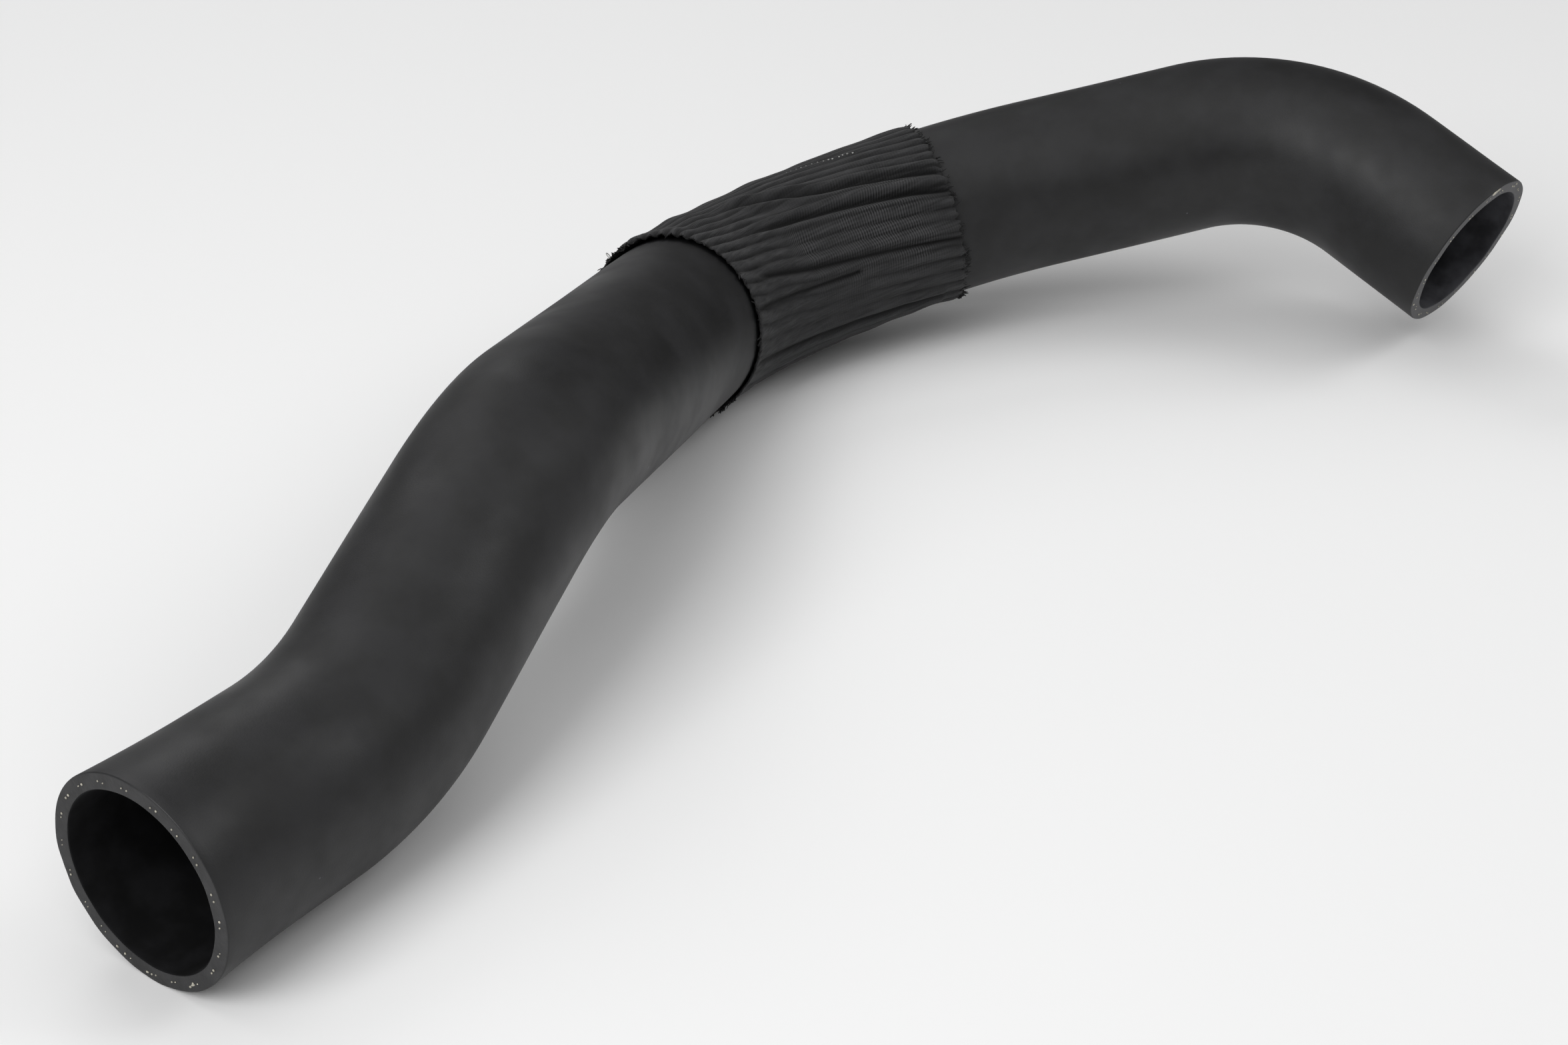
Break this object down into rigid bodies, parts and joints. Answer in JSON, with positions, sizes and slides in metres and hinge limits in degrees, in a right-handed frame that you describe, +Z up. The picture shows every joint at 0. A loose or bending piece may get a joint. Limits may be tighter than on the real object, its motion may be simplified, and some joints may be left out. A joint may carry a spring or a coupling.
{
  "type": "charge air hose",
  "caption": "Formed black rubber charge air hose with plain open ends, bent to run round an engine, and a pleated knit protective sleeve over its elbow.",
  "frame": {"origin": "on the floor, under the middle of the bounding box of the hose as it lies at rest", "axes": "+Z up from the floor the hose lies on; +X along the inlet leg, from its cut end into the hose, seen from above"},
  "size_m": [0.5798, 0.233, 0.0956],
  "materials": {
    "rubber": "matte black moulded rubber",
    "knit": "pleated black knit"
  },
  "bodies": {
    "root": {"moulded_hose": "rubber", "textile_sleeve": "knit"}
  },
  "joints": []
}
